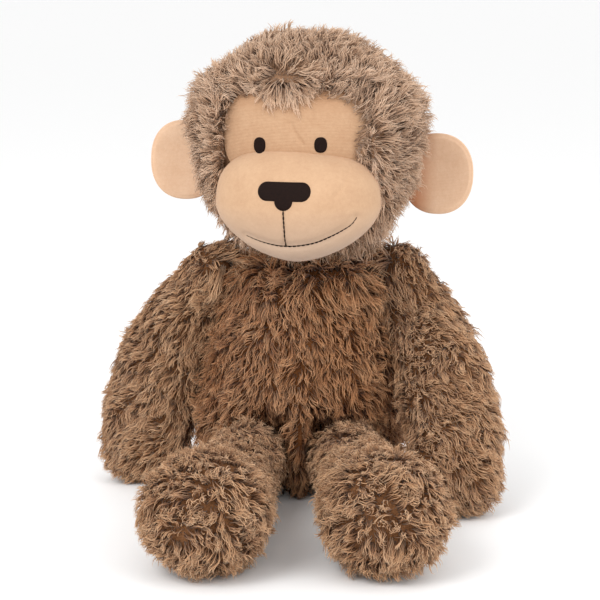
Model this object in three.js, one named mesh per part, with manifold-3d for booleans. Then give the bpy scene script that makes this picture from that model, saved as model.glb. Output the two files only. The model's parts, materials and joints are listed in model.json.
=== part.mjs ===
// A seated plush monkey: stuffed fur panels, a smooth cloth face and ears, stitched features.
// Millimetres, +Z up, facing -Y, standing on z = 0. Left is the monkey's own left, towards +X.
import * as THREE from 'three';
import { mergeVertices } from 'three/addons/utils/BufferGeometryUtils.js';
import Module from 'manifold-3d';

const wasm = await Module();
wasm.setup();

// Cloth and fits
const wall = 4; // fur cloth: woven backing with its pile pressed half flat
const smoothWall = 2.4; // short-pile cloth of the face
const gap = 0.35; // between pieces that touch
const floorGap = 0.6; // limbs above the surface the toy sits on
const roundSegments = 12; // round the limbs and small balls
const ballRows = 8;
const bodySegments = 16; // round the torso and the head
const seamSegments = 14;

// Torso, a pear standing on its flat seat
const torsoHeight = 128;
const torsoWidth = 116;
const torsoDepthShare = 0.85;
const seatRadius = 46;
const topShare = 0.71; // width at the shoulders against the full width
const torsoLean = 4; // the top stands this far towards the left
const sideSeam = 8; // the side seams run this far behind the middle
const seatBagRadius = 27;
const seatBagHeight = 20;
const seatBagBack = 9; // the bag's middle behind the torso's
const bagLift = 1; // filling under a bag, above the cloth

// Head, carried turned a little to the right and dropped a little to the left
const headWidth = 124;
const headDepth = 114;
const headHeight = 122;
const headAside = 0.3; // from over the neck towards the left
const headForward = 9; // from over the neck towards the front
const headTurn = -9;
const headRoll = 0.6;
const neckRise = 8; // the neck ball's middle above the torso
const neckBack = 1;
const neckSink = 5; // and above the head's underside
const neckBallRadius = 15;
const neckSeamHeight = 8;
const neckSeamDrop = 6; // degrees from the ball's middle down to the seam
const collarFlare = 6;
const collarDrop = 1;

// Face
const browInset = 26; // from the head's side to the brow's
const browTop = 30; // above the head's middle
const browCorner = 15;
const muzzleWidth = 85;
const muzzleHeight = 60;
const muzzleDepth = 72;
const muzzleSink = 17; // its middle behind the front of the head
const muzzleDrop = 28.6; // and below the middle of the head
const muzzleTail = 10; // from its middle back to its open end
const eyeWidth = 6.8;
const eyeHeight = 8.4;
const eyeSpacing = 32.4;
const eyeLift = 1.6; // above the muzzle's top
const eyeAside = 1.3; // towards the head's right
const noseWidth = 28;
const noseHeight = 9.8;
const noseLobeWidth = 9.6;
const noseLobeDrop = 4.8; // below the nose's bar
const noseInset = 14.6; // below the muzzle's top
const stitchLift = 1.1; // how far the embroidery stands off its cloth
const threadWidth = 1.1;
const lipAside = 1;
const lipRise = 11.5; // above the muzzle's underside, as are the smile's ends
const smileLeftRise = 23.8;
const smileRightRise = 17;
const smileLeftInset = 7.5; // from the muzzle's side
const smileRightInset = 18.5;

// Ears, each two round pieces sewn face to face
const earWidth = 40;
const earHeight = 45;
const earThickness = 9;
const earStand = 29; // how far an ear stands out of the head
const earBack = 16;
const earDrop = 14;
const earSlant = 2; // how far the right ear is sewn above this, and the left ear below
const earHingeDepth = 6; // the fold line inside the head's side
const earRoomSlack = 4.1; // round a folding ear's root

// Arms, sewn on at the shoulders
const shoulderDrop = 6; // below the torso's top
const armSink = 3.7; // how far an arm's round root sinks into the torso
const armRootRadius = 15;
const armRadius = 18.5;
const armNeck = 0.4; // an arm narrows by this just past its root

// Legs, sewn on at the front of the seat
const hipApart = 14; // between the roots of the legs
const hipSink = 9.3; // from the torso's front to a hip's middle
const hipLift = 1.4; // under a leg's root, above the other limbs
const legRootRadius = 21;
const legRadius = 21.5;
const footRadius = 31.5;
const legFlatness = 0.92;
const legReach = 126; // from the hip to the middle of the foot
const rightLegOut = 16; // how far a leg spreads by its foot
const leftLegOut = 12;
const rightToeOut = 0.6;
const leftToeOut = 2.1;
const footBagRadius = 17;
const bagVent = 6; // the slit in the filling that a foot's bag goes in by
const legSwingUp = 30;
const legSwingDown = 80;
const swingSpare = 3; // degrees cut away past each end of a leg's swing

// Tail, lying curled behind
const tailRadius = 8;
const tailWall = 2.5;
const tailSegments = 8;
const tailRootHeight = 20;
const tailStand = 2; // the tail's root outside the torso's back
const tailSlack = 1;

// Sewn rounds in the joints of the limbs
const seamThickness = 1.5;
const shoulderSeamAngle = 34;
const hipSeamAngle = 38;
const hipSeamTilt = 30;

// Sizes that follow
const torsoDepth = torsoWidth * torsoDepthShare;
const hipSpread = legRootRadius + hipApart / 2;
const hipForward = torsoDepth / 2 - hipSink;
const hipHeight = legRootRadius + floorGap + hipLift;
const neckHeight = torsoHeight + neckRise;
const shoulderHeight = torsoHeight - shoulderDrop;
const shoulderSpread = (torsoWidth * topShare) / 2 + armRootRadius - armSink;
const muzzleTop = muzzleHeight / 2 - muzzleDrop;
const muzzleUnderside = muzzleTop - muzzleHeight;
const muzzleRoot = muzzleSink + muzzleTail - headDepth / 2;
const earHinge = headWidth / 2 - earHingeDepth;
const browWidth = headWidth - 2 * browInset;

const degrees = Math.PI / 180;

// solids

// Joins shared corners and drops the slivers that a lathe leaves on its axis.
function weld(geometry) {
  geometry.deleteAttribute('uv');
  geometry.deleteAttribute('normal');
  const merged = mergeVertices(geometry, 1e-4);
  const old = merged.index.array;
  const kept = [];
  for (let i = 0; i < old.length; i += 3) {
    const [a, b, c] = [old[i], old[i + 1], old[i + 2]];
    if (a !== b && b !== c && c !== a) kept.push(a, b, c);
  }
  merged.setIndex(kept);
  if (signedVolume(merged) < 0) turnOver(merged);
  return merged;
}

function signedVolume(geometry) {
  const corner = [0, 1, 2].map(() => new THREE.Vector3());
  const index = geometry.index.array;
  let volume = 0;
  for (let i = 0; i < index.length; i += 3) {
    corner.forEach((c, k) => c.fromBufferAttribute(geometry.attributes.position, index[i + k]));
    volume += corner[0].dot(corner[1].clone().cross(corner[2])) / 6;
  }
  return volume;
}

function turnOver(geometry) {
  const index = geometry.index.array;
  for (let i = 0; i < index.length; i += 3) {
    [index[i + 1], index[i + 2]] = [index[i + 2], index[i + 1]];
  }
}

function solid(geometry) {
  const welded = weld(geometry);
  return new wasm.Manifold(new wasm.Mesh({
    numProp: 3,
    vertProperties: new Float32Array(welded.attributes.position.array),
    triVerts: new Uint32Array(welded.index.array),
  }));
}

function shapeOf(manifold) {
  const mesh = manifold.getMesh();
  const geometry = new THREE.BufferGeometry();
  geometry.setAttribute('position', new THREE.BufferAttribute(mesh.vertProperties, 3));
  geometry.setIndex(Array.from(mesh.triVerts));
  return geometry;
}

function ellipsoid(halfX, halfY, halfZ, centre = new THREE.Vector3(), around = bodySegments, along = 12) {
  const sphere = new THREE.SphereGeometry(1, around, along);
  sphere.rotateX(90 * degrees);
  sphere.scale(halfX, halfY, halfZ);
  sphere.translate(centre.x, centre.y, centre.z);
  return solid(sphere);
}

function block(low, high) {
  const size = high.clone().sub(low);
  const box = new THREE.BoxGeometry(size.x, size.y, size.z);
  const middle = low.clone().add(high).multiplyScalar(0.5);
  box.translate(middle.x, middle.y, middle.z);
  return solid(box);
}

const far = 3 * torsoHeight; // past every piece

function inFrontOf(y) {
  return block(new THREE.Vector3(-far, -far, -far), new THREE.Vector3(far, y, far));
}

function behind(y) {
  return block(new THREE.Vector3(-far, y, -far), new THREE.Vector3(far, far, far));
}

// Moves each point of a profile square to its run, towards the axis when the distance is positive.
function inset(profile, distance) {
  const last = profile.length - 1;
  return profile.map((point, i) => {
    const before = profile[Math.max(i - 1, 0)];
    const after = profile[Math.min(i + 1, last)];
    const run = after.clone().sub(before).normalize();
    if (i === 0 || i === last) {
      return new THREE.Vector2(0, point.y + (i === 0 ? distance : -distance));
    }
    return new THREE.Vector2(Math.max(point.x - run.y * distance, 0.5), point.y + run.x * distance);
  });
}

// A half of a hollow turned body: the profile's wall swept half way round, closed at both cuts.
function halfShell(profile, thickness, startAngle, segments) {
  const inner = inset(profile, thickness);
  const loop = [...profile, ...inner.reverse(), profile[0]];
  const geometry = new THREE.LatheGeometry(loop, segments, startAngle, Math.PI);
  const index = Array.from(geometry.index.array);
  const count = loop.length;
  const partner = (i) => 2 * profile.length - 1 - i;
  for (let i = 0; i < profile.length - 1; i += 1) {
    const first = [i, i + 1, partner(i + 1), partner(i)];
    const last = [i + 1, i, partner(i), partner(i + 1)].map((k) => k + segments * count);
    for (const [a, b, c, d] of [first, last]) index.push(a, b, c, a, c, d);
  }
  geometry.setIndex(index);
  return geometry;
}

function turned(profile, segments = roundSegments) {
  return new THREE.LatheGeometry(profile, segments);
}

// limbs

function arc(centreY, radius, fromAngle, toAngle, steps) {
  return Array.from({ length: steps + 1 }, (_, i) => {
    const angle = (fromAngle + ((toAngle - fromAngle) * i) / steps) * degrees;
    return new THREE.Vector2(Math.max(radius * Math.cos(angle), 0), centreY + radius * Math.sin(angle));
  });
}

// A limb from a ball at its root to a round end: radius against distance from the root's middle.
function limbProfile(rootRadius, middle, endRadius, length) {
  const root = arc(0, rootRadius, -90, 0, 3);
  const end = arc(length, endRadius, 0, 90, 3);
  const knots = [root.at(-1), ...middle, end[0]];
  const run = new THREE.SplineCurve(knots).getPoints(knots.length).slice(1, -1);
  const points = [...root, ...run, ...end];
  points[0].x = 0;
  points.at(-1).x = 0;
  return points;
}

// Bends a straight limb, standing along +Y, on to a route. Its +X side stays towards a direction.
function follow(geometry, route, towards = new THREE.Vector3(1, 0, 0)) {
  const length = route.getLength();
  const position = geometry.attributes.position;
  for (let i = 0; i < position.count; i += 1) {
    const along = position.getY(i);
    const share = THREE.MathUtils.clamp(along / length, 0, 1);
    const tangent = route.getTangentAt(share);
    const side = towards.clone();
    side.addScaledVector(tangent, -side.dot(tangent)).normalize();
    const other = new THREE.Vector3().crossVectors(side, tangent);
    const spot = route.getPointAt(share).addScaledVector(tangent, along - share * length);
    spot.addScaledVector(side, position.getX(i)).addScaledVector(other, position.getZ(i));
    position.setXYZ(i, spot.x, spot.y, spot.z);
  }
  return geometry;
}

// The two panels and the filling of one limb, bent on to its route.
function limb(profile, route, flatness = 1) {
  const segments = roundSegments / 2;
  const half = (startAngle, shift) => {
    const panel = halfShell(profile, wall, startAngle, segments);
    panel.translate(shift, 0, 0);
    panel.scale(1, 1, flatness);
    return shapeOf(solid(follow(panel, route)));
  };
  const filling = turned(inset(profile, wall + gap), roundSegments);
  filling.scale(1, 1, flatness);
  return {
    plus: half(0, gap / 2),
    minus: half(Math.PI, -gap / 2),
    filling: solid(follow(filling, route)),
  };
}

// A thin round of cloth, part of a ball about the joint's middle, facing along a direction.
function seamRound(radius, halfAngle, direction) {
  const outer = arc(0, radius + seamThickness, 90 - halfAngle, 90, 3);
  const inner = arc(0, radius, 90, 90 - halfAngle, 3);
  outer.at(-1).x = 0;
  inner[0].x = 0;
  const cap = new THREE.LatheGeometry([...outer, ...inner, outer[0]], seamSegments);
  const turn = new THREE.Quaternion().setFromUnitVectors(new THREE.Vector3(0, 1, 0), direction);
  cap.applyQuaternion(turn);
  return shapeOf(solid(cap));
}

// materials and assembly

const cloth = (color, roughness) => () => new THREE.MeshStandardMaterial({ color, roughness, metalness: 0 });
const headFur = cloth(0x9f7f6a, 1);
const bodyFur = cloth(0x7c583e, 1);
const limbFur = cloth(0x87654c, 1);
const smoothCloth = cloth(0xe6bd98, 0.9);
const embroidery = cloth(0x2c1d19, 0.55);
const fibre = cloth(0xf1efe8, 1);
const pelletCloth = cloth(0xd8d2c4, 0.95);
const seamCloth = cloth(0x6a4a35, 1);

function add(group, name, geometry, material) {
  const mesh = new THREE.Mesh(geometry, material());
  mesh.name = name;
  group.add(mesh);
  return mesh;
}

// torso

const shoulders = { right: -1, left: 1 };
const seamRoom = seamThickness + 2 * gap;

function leanAt(height) {
  return (torsoLean * height) / torsoHeight;
}

function shoulderPoint(side) {
  return new THREE.Vector3(side * shoulderSpread + leanAt(shoulderHeight), 0, shoulderHeight);
}

function hipPoint(side) {
  return new THREE.Vector3(side * hipSpread, -hipForward, hipHeight);
}

const neckPoint = new THREE.Vector3(leanAt(neckHeight), neckBack, neckHeight);
const tailPoint = new THREE.Vector3(0, torsoDepth / 2 + tailStand, tailRootHeight);

function torsoProfile() {
  const half = torsoWidth / 2;
  const h = torsoHeight;
  const side = new THREE.SplineCurve([
    new THREE.Vector2(seatRadius, 0),
    new THREE.Vector2(half * 0.93, h * 0.07),
    new THREE.Vector2(half, h * 0.27),
    new THREE.Vector2(half * 0.96, h * 0.43),
    new THREE.Vector2(half * 0.87, h * 0.62),
    new THREE.Vector2(half * 0.79, h * 0.82),
    new THREE.Vector2(half * topShare, h * 0.93),
    new THREE.Vector2(half * 0.58, h * 0.98),
    new THREE.Vector2(half * 0.35, h),
  ]);
  return [new THREE.Vector2(0, 0), ...side.getPoints(9), new THREE.Vector2(0, h)];
}

// From a turned body standing along +Y to the torso's place: upright, flattened and leaning.
function standUp(geometry) {
  geometry.rotateX(90 * degrees);
  geometry.scale(1, torsoDepthShare, 1);
  geometry.applyMatrix4(new THREE.Matrix4().makeShear(0, 0, 0, 0, torsoLean / torsoHeight, 0));
  return geometry;
}

// The room a leg needs as it swings: a slab with a round back, as wide as the leg's root.
function legRoom(side) {
  const reach = torsoDepth;
  const radius = legRootRadius + seamRoom + gap;
  const pivot = hipPoint(side);
  const up = (180 - legSwingUp - swingSpare) * degrees;
  const down = (180 + legSwingDown + swingSpare) * degrees;
  const shape = new THREE.Shape();
  shape.absarc(0, 0, radius, down + 90 * degrees, up - 90 * degrees + 360 * degrees, false);
  const ends = [up, down].map((a) => new THREE.Vector2(Math.cos(a), Math.sin(a)).multiplyScalar(reach));
  const square = (a, sign) => new THREE.Vector2(-Math.sin(a), Math.cos(a)).multiplyScalar(sign * radius);
  const upEnd = ends[0].clone().add(square(up, -1));
  const downEnd = ends[1].clone().add(square(down, 1));
  shape.lineTo(upEnd.x, upEnd.y);
  shape.lineTo(-reach, 0);
  shape.lineTo(downEnd.x, downEnd.y);
  shape.closePath();
  const options = { depth: 2 * radius, bevelEnabled: false, curveSegments: 8 };
  const slab = new THREE.ExtrudeGeometry(shape, options);
  slab.translate(0, 0, -radius);
  // The shape's x becomes Y, its y becomes Z, and its depth becomes X.
  slab.applyMatrix4(new THREE.Matrix4().set(0, 0, 1, 0, 1, 0, 0, 0, 0, 1, 0, 0, 0, 0, 0, 1));
  slab.translate(pivot.x, pivot.y, pivot.z);
  return solid(slab);
}

function ball(point, radius) {
  return ellipsoid(radius, radius, radius, point, roundSegments, ballRows);
}

// A ball-shaped room whose flat facets all stay outside the radius.
function pocket(point, radius) {
  const facet = Math.cos(Math.PI / roundSegments) * Math.cos(Math.PI / ballRows / 2);
  return ball(point, radius / facet);
}

function buildTorso(group) {
  const profile = torsoProfile();
  const rooms = [
    pocket(neckPoint, neckBallRadius + seamRoom + gap),
    pocket(tailPoint, tailRadius + tailSlack + gap),
    ...[-1, 1].map((side) => pocket(shoulderPoint(side), armRootRadius + seamRoom + gap)),
    ...[-1, 1].map(legRoom),
  ];
  const room = rooms.reduce((sum, one) => sum.add(one));
  const body = (depth) => solid(standUp(turned(depth ? inset(profile, depth) : profile, bodySegments)));
  const shell = body(0).subtract(body(wall)).subtract(room);
  const front = shell.intersect(inFrontOf(sideSeam - gap / 2));
  const back = shell.intersect(behind(sideSeam + gap / 2));
  add(group, 'torso_front_panel', shapeOf(front), bodyFur);
  add(group, 'torso_back_panel', shapeOf(back), bodyFur);
  const bagMiddle = new THREE.Vector3(0, seatBagBack, wall + gap + seatBagHeight / 2 + bagLift);
  const bag = (grow) => ellipsoid(seatBagRadius + grow, (seatBagRadius + grow) * torsoDepthShare,
    seatBagHeight / 2 + grow, bagMiddle, roundSegments, ballRows);
  const filling = body(wall + gap);
  const opened = filling.subtract(room).subtract(openBelow(bag(gap), bagMiddle));
  add(group, 'torso_stuffing', shapeOf(opened), fibre);
  add(group, 'seat_pellet_bag', shapeOf(bag(0).subtract(room)), pelletCloth);
}

// A bag lies in the filling with its underside bare, so that no hollow is sealed.
function openBelow(bag, middle) {
  const half = seatBagRadius * 0.4;
  const low = new THREE.Vector3(middle.x - half, middle.y - half, 0);
  const high = new THREE.Vector3(middle.x + half, middle.y + half, middle.z);
  return bag.add(block(low, high));
}

// head

const headHalf = new THREE.Vector3(headWidth / 2, headDepth / 2, headHeight / 2);
const headCentre = new THREE.Vector3(headAside, -headForward, headHalf.z - neckSink).add(neckPoint);
const muzzleCentre = new THREE.Vector3(0, muzzleSink - headHalf.y, -muzzleDrop);

function headSolid(grow) {
  return ellipsoid(headHalf.x + grow, headHalf.y + grow, headHalf.z + grow);
}

function muzzleSolid(grow) {
  return ellipsoid(muzzleWidth / 2 + grow, muzzleDepth / 2 + grow, muzzleHeight / 2 + grow, muzzleCentre);
}

// An outline drawn on the face, seen from in front, pushed back through the head's front half.
function through(shape, curveSegments = 4) {
  const options = { depth: far, bevelEnabled: false, curveSegments };
  const prism = new THREE.ExtrudeGeometry(shape, options);
  prism.rotateX(90 * degrees);
  return solid(prism);
}

function browShape(grow) {
  const half = browWidth / 2 + grow;
  const top = browTop + grow;
  const corner = browCorner + grow;
  const low = muzzleCentre.z;
  const shape = new THREE.Shape();
  shape.moveTo(-half, low);
  shape.lineTo(half, low);
  shape.lineTo(half, top - corner);
  shape.absarc(half - corner, top - corner, corner, 0, 90 * degrees, false);
  shape.lineTo(corner - half, top);
  shape.absarc(corner - half, top - corner, corner, 90 * degrees, 180 * degrees, false);
  shape.closePath();
  return shape;
}

function noseShape() {
  const half = noseWidth / 2;
  const lobe = noseLobeWidth / 2;
  const radius = noseHeight / 2;
  const middle = muzzleTop - noseInset - radius;
  const shape = new THREE.Shape();
  shape.absarc(radius - half, middle, radius, 90 * degrees, 270 * degrees, false);
  shape.lineTo(-lobe, middle - radius);
  shape.absarc(0, middle - radius - noseLobeDrop + lobe, lobe, 180 * degrees, 360 * degrees, false);
  shape.lineTo(lobe, middle - radius);
  shape.absarc(half - radius, middle, radius, -90 * degrees, 90 * degrees, false);
  shape.closePath();
  return shape;
}

// A line of thread as a flat outline: the curve moved half a thread to each side.
function threadShape(curve, steps) {
  const sides = [1, -1].map((sign) => Array.from({ length: steps + 1 }, (_, i) => {
    const along = curve.getTangent(i / steps);
    const shift = new THREE.Vector2(-along.y, along.x).multiplyScalar((sign * threadWidth) / 2);
    return curve.getPoint(i / steps).add(shift);
  }));
  return new THREE.Shape([...sides[0], ...sides[1].reverse()]);
}

function mouthShapes() {
  const noseBottom = muzzleTop - noseInset - noseHeight - noseLobeDrop;
  const lip = new THREE.Vector2(lipAside, muzzleUnderside + lipRise);
  const left = new THREE.Vector2(muzzleWidth / 2 - smileLeftInset, muzzleUnderside + smileLeftRise);
  const right = new THREE.Vector2(smileRightInset - muzzleWidth / 2, muzzleUnderside + smileRightRise);
  const clear = threadWidth / 2 + gap;
  const drop = new THREE.LineCurve(
    new THREE.Vector2(0, noseBottom - gap),
    new THREE.Vector2(lip.x, lip.y + clear),
  );
  const sag = (end, rise) => new THREE.Vector2(end.x / 2, lip.y + (end.y - lip.y) * rise);
  const smile = new THREE.SplineCurve([right, sag(right, 0.25), lip, sag(left, 0.23), left]);
  return { mouth_centre_stitch: threadShape(drop, 4), smile_stitch: threadShape(smile, 12) };
}

// Embroidery on a ball: the part of a thin layer over it that lies in the outline.
function embroidered(ballOf, shape) {
  const layer = ballOf(gap + stitchLift).subtract(ballOf(gap));
  return layer.intersect(through(shape)).intersect(inFrontOf(muzzleRoot));
}

function eyeShape(side) {
  const shape = new THREE.Shape();
  const middle = new THREE.Vector2((side * eyeSpacing) / 2 - eyeAside, muzzleTop + eyeLift);
  shape.absellipse(middle.x, middle.y, eyeWidth / 2, eyeHeight / 2, 0, 2 * Math.PI);
  return shape;
}

function earHeightOn(side) {
  return -earDrop - side * earSlant;
}

function earSolid(side, grow) {
  const middle = new THREE.Vector3(side * (headHalf.x + earStand - earWidth / 2), earBack, earHeightOn(side));
  const half = new THREE.Vector3(earWidth, earThickness, earHeight).divideScalar(2).addScalar(grow);
  return ellipsoid(half.x, half.y, half.z, middle, roundSegments, ballRows);
}

function earRoom(side) {
  const radius = earThickness / 2 + earRoomSlack;
  const drum = new THREE.CylinderGeometry(radius, radius, earHeight + 2 * gap, roundSegments);
  drum.rotateX(90 * degrees);
  drum.translate(side * earHinge, earBack, earHeightOn(side));
  return solid(drum);
}

function buildHead(group, neckInHead) {
  const muzzleRoom = muzzleSolid(gap).intersect(inFrontOf(muzzleRoot + gap));
  const neckRoom = pocket(neckInHead, neckBallRadius + gap);
  const earRooms = earRoom(-1).add(earRoom(1));
  const rooms = muzzleRoom.add(neckRoom).add(earRooms).add(neckCollarRoom(neckInHead));
  const browPrism = (grow) => through(browShape(grow)).intersect(inFrontOf(-gap));

  const shell = headSolid(0).subtract(headSolid(-wall));
  const front = shell.intersect(inFrontOf(-gap / 2)).subtract(rooms).subtract(browPrism(gap));
  const back = shell.intersect(behind(gap / 2)).subtract(rooms);
  add(group, 'head_front_panel', shapeOf(front), headFur);
  add(group, 'head_back_panel', shapeOf(back), headFur);
  const core = headSolid(-wall - gap).subtract(rooms);
  add(group, 'head_stuffing', shapeOf(core), fibre);

  const browLayer = headSolid(smoothWall - wall).subtract(headSolid(-wall));
  const brow = browLayer.intersect(browPrism(0)).subtract(muzzleRoom);
  add(group, 'brow_panel', shapeOf(brow), smoothCloth);

  const muzzleShell = muzzleSolid(0).subtract(muzzleSolid(-smoothWall));
  add(group, 'muzzle_panel', shapeOf(muzzleShell.intersect(inFrontOf(muzzleRoot))), smoothCloth);
  const muzzleCore = muzzleSolid(-smoothWall - gap).intersect(inFrontOf(muzzleRoot));
  add(group, 'muzzle_stuffing', shapeOf(muzzleCore), fibre);

  const onBrow = (grow) => headSolid(smoothWall - wall + grow);
  const clearOfMuzzle = muzzleSolid(gap);
  for (const [name, side] of [['right_eye', -1], ['left_eye', 1]]) {
    const eye = embroidered(onBrow, eyeShape(side)).subtract(clearOfMuzzle);
    add(group, name, shapeOf(eye), embroidery);
  }
  add(group, 'nose', shapeOf(embroidered(muzzleSolid, noseShape())), embroidery);
  for (const [name, shape] of Object.entries(mouthShapes())) {
    add(group, name, shapeOf(embroidered(muzzleSolid, shape)), embroidery);
  }

  for (const [name, side] of [['right_ear', -1], ['left_ear', 1]]) {
    const ear = earSolid(side, 0);
    const front = ear.intersect(inFrontOf(earBack - gap / 2));
    add(group, `${name}_front`, shapeOf(front), smoothCloth);
    add(group, `${name}_back`, shapeOf(ear.intersect(behind(earBack + gap / 2))), smoothCloth);
  }
}

// The head's underside stands back from the neck's sewn collar.
function neckCollarRoom(neckInHead) {
  const radius = neckBallRadius + seamRoom + gap;
  const drum = new THREE.CylinderGeometry(radius, radius + collarFlare, neckSeamHeight, roundSegments);
  drum.rotateX(90 * degrees);
  drum.translate(neckInHead.x, neckInHead.y, neckInHead.z - collarDrop);
  return solid(drum);
}

function buildNeck(group) {
  const radius = neckBallRadius + 2 * gap;
  const low = (-neckSeamHeight / radius / degrees) - neckSeamDrop;
  const outer = arc(0, radius + seamThickness, low, -neckSeamDrop, 2);
  const inner = arc(0, radius, -neckSeamDrop, low, 2);
  const ring = new THREE.LatheGeometry([...outer, ...inner, outer[0]], seamSegments);
  ring.rotateX(90 * degrees);
  const seam = add(group, 'neck_seam', shapeOf(solid(ring)), seamCloth);
  seam.position.copy(neckPoint);
  const middle = ball(new THREE.Vector3(), neckBallRadius);
  const plug = add(group, 'neck_stuffing', shapeOf(middle), fibre);
  plug.position.copy(neckPoint);
}

// arms, legs and tail

const handRest = armRadius + floorGap;

// The arms' routes fall from the shoulder to a hand that rests on the floor: each point's
// x and y are distances, its z a share of the whole drop.
function armRoute(side) {
  const drop = shoulderHeight - handRest;
  const relaxed = [[0, 0, 0], [-14, 6, -0.2], [-28, 10, -0.45], [-36, 8, -0.7], [-40, 0, -1]];
  const reaching = [[0, 0, 0], [18, -12, -0.25], [30, -28, -0.5], [35, -48, -0.75], [32, -70, -1]];
  const points = side < 0 ? relaxed : reaching;
  return new THREE.CatmullRomCurve3(points.map(([x, y, z]) => new THREE.Vector3(x, y, z * drop)));
}

function buildArm(group, name, side) {
  const arm = new THREE.Group();
  arm.position.copy(shoulderPoint(side));
  group.add(arm);
  const route = armRoute(side);
  const length = route.getLength();
  const swell = armRootRadius + (armRadius - armRootRadius) * 0.45;
  const middle = [
    new THREE.Vector2(armRootRadius - armNeck, length * 0.1),
    new THREE.Vector2(swell, length * 0.35),
    new THREE.Vector2(armRadius, length * 0.7),
  ];
  const pieces = limb(limbProfile(armRootRadius, middle, armRadius, length), route);
  const names = side < 0 ? ['inner', 'outer'] : ['outer', 'inner'];
  add(arm, `${name}_arm_${names[0]}_panel`, pieces.plus, limbFur);
  add(arm, `${name}_arm_${names[1]}_panel`, pieces.minus, limbFur);
  add(arm, `${name}_arm_stuffing`, shapeOf(pieces.filling), fibre);
  const inwards = new THREE.Vector3(-side, 0, 0);
  add(arm, `${name}_shoulder_seam`, seamRound(armRootRadius + gap, shoulderSeamAngle, inwards), seamCloth);
}

function legRoute(side) {
  const rise = footRadius * legFlatness + floorGap - hipHeight;
  const out = side < 0 ? rightLegOut : leftLegOut;
  const toeOut = side < 0 ? rightToeOut : leftToeOut;
  return new THREE.CatmullRomCurve3([
    new THREE.Vector3(0, 0, 0),
    new THREE.Vector3(side * out * 0.3, -legReach * 0.34, rise * 0.15),
    new THREE.Vector3(side * out * 0.7, -legReach * 0.7, rise * 0.6),
    new THREE.Vector3(side * (out + toeOut), -legReach, rise),
  ]);
}

function buildLeg(group, name, side) {
  const leg = new THREE.Group();
  leg.position.copy(hipPoint(side));
  group.add(leg);
  const route = legRoute(side);
  const length = route.getLength();
  const middle = [
    new THREE.Vector2(legRootRadius, length * 0.16),
    new THREE.Vector2(legRadius, length * 0.45),
    new THREE.Vector2(footRadius * 0.86, length * 0.76),
  ];
  const pieces = limb(limbProfile(legRootRadius, middle, footRadius, length), route, legFlatness);
  const names = side < 0 ? ['inner', 'outer'] : ['outer', 'inner'];
  add(leg, `${name}_leg_${names[0]}_panel`, pieces.plus, limbFur);
  add(leg, `${name}_leg_${names[1]}_panel`, pieces.minus, limbFur);
  const bagMiddle = route.getPointAt(1);
  const bag = (grow) => ball(bagMiddle, footBagRadius + grow);
  const slit = new THREE.Vector3(bagVent / 2, 0, bagVent / 2);
  const outside = bagMiddle.clone().setY(bagMiddle.y - footRadius - wall);
  const vent = block(outside.sub(slit), bagMiddle.clone().add(slit));
  const filling = pieces.filling.subtract(bag(gap)).subtract(vent);
  add(leg, `${name}_leg_stuffing`, shapeOf(filling), fibre);
  add(leg, `${name}_foot_pellet_bag`, shapeOf(bag(0)), pelletCloth);
  const backwards = new THREE.Vector3(0, Math.cos(hipSeamTilt * degrees), Math.sin(hipSeamTilt * degrees));
  add(leg, `${name}_hip_seam`, seamRound(legRootRadius + gap, hipSeamAngle, backwards), seamCloth);
}

function buildTail(group) {
  const tail = new THREE.Group();
  tail.position.copy(tailPoint);
  group.add(tail);
  const lie = tailRadius + floorGap - tailRootHeight;
  const route = new THREE.CatmullRomCurve3([
    new THREE.Vector3(0, 0, 0),
    new THREE.Vector3(2, 16, lie * 0.6),
    new THREE.Vector3(10, 32, lie),
    new THREE.Vector3(27, 38, lie),
    new THREE.Vector3(41, 29, lie),
    new THREE.Vector3(42, 14, lie),
  ]);
  const length = route.getLength();
  const middle = [1, 2, 3, 4, 5].map((i) => new THREE.Vector2(tailRadius, (length * i) / 6));
  const profile = limbProfile(tailRadius, middle, tailRadius, length);
  const inner = inset(profile, tailWall);
  const mouth = 3; // the sewn root is left open, as the sleeve is before it is closed
  const loop = [...profile.slice(mouth), ...inner.slice(mouth).reverse(), profile[mouth]];
  const up = new THREE.Vector3(0, 0, 1);
  const sleeve = follow(new THREE.LatheGeometry(loop, tailSegments), route, up);
  add(tail, 'tail_panel', shapeOf(solid(sleeve)), bodyFur);
  const filling = follow(turned(inset(profile, tailWall + gap), tailSegments), route, up);
  add(tail, 'tail_stuffing', shapeOf(solid(filling)), fibre);
}

const monkey = new THREE.Group();
buildTorso(monkey);
buildNeck(monkey);

const head = new THREE.Group();
head.position.copy(headCentre);
head.rotation.set(0, headRoll * degrees, headTurn * degrees, 'ZYX');
monkey.add(head);
head.updateMatrixWorld(true);
buildHead(head, head.worldToLocal(neckPoint.clone()));

for (const [name, side] of Object.entries(shoulders)) {
  buildArm(monkey, name, side);
  buildLeg(monkey, name, side);
}
buildTail(monkey);

export default monkey;
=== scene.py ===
import json
import math

import bpy
import numpy as np
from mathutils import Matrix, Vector, kdtree, noise
from mathutils.bvhtree import BVHTree


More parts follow.
